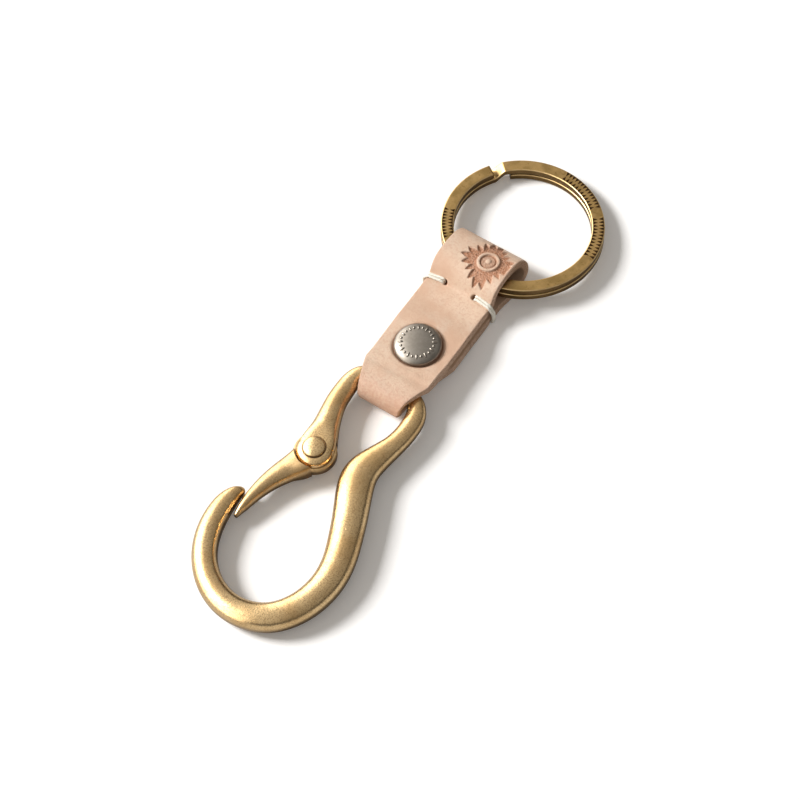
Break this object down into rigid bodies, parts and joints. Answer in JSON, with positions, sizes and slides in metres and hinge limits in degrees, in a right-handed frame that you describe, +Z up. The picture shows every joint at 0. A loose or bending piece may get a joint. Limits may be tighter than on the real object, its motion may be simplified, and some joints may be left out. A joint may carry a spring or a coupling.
{
  "type": "leather key tag",
  "caption": "Folded leather strap with a snap, joined to a brass hook with a sprung gate and a flat split ring, lying flat.",
  "frame": {"origin": "centre of the bounding box's base, on the surface that the tag lies on", "axes": "+Y along the strap towards the split ring, +Z up through the snap cap, +X to the right with the ring away"},
  "size_m": [0.0401, 0.1418, 0.0099],
  "materials": {
    "leather": "natural vegetable-tanned, matt",
    "thread": "waxed thread",
    "brass": "solid, tumbled satin",
    "antique_brass": "antiqued",
    "gunmetal": "gunmetal plating",
    "steel": "plain"
  },
  "bodies": {
    "strap": {"strap": "leather", "strap_ring_loop": "leather", "strap_return": "leather", "stitch_left": "thread", "stitch_right": "thread", "snap_cap": "gunmetal", "snap_socket": "steel", "snap_spring": "steel"},
    "flap": {"strap_flap": "leather", "snap_stud": "steel", "snap_post": "gunmetal"},
    "hook": {"hook_body": "brass", "gate_rivet": "brass", "gate_spring": "steel"},
    "gate": {"gate": "brass"},
    "ring": {"split_ring": "antique_brass"}
  },
  "joints": [
    {"name": "flap_open", "type": "hinge", "parent": "strap", "child": "flap", "pos_m": [-0.0024, -0.00135, 0.00035], "axis": [-1, 0, 0], "range_deg": [0, 90]},
    {"name": "hook_swing", "type": "hinge", "parent": "strap", "child": "hook", "pos_m": [-0.0024, -0.00205, 0.00425], "axis": [-1, 0, 0], "range_deg": [-70, 8]},
    {"name": "gate_open", "type": "hinge", "parent": "hook", "child": "gate", "pos_m": [-0.00715, -0.02605, 0.00392], "axis": [0, 0, 1], "range_deg": [0, 40], "stiffness_Nm_per_rad": 0.04, "springref_deg": -34.38},
    {"name": "ring_swing", "type": "hinge", "parent": "strap", "child": "ring", "pos_m": [-0.0024, 0.03445, 0.00495], "axis": [0.9852, -0.1707, 0.0151], "range_deg": [-120, 120], "deforming": ["strap_ring_loop"]}
  ]
}
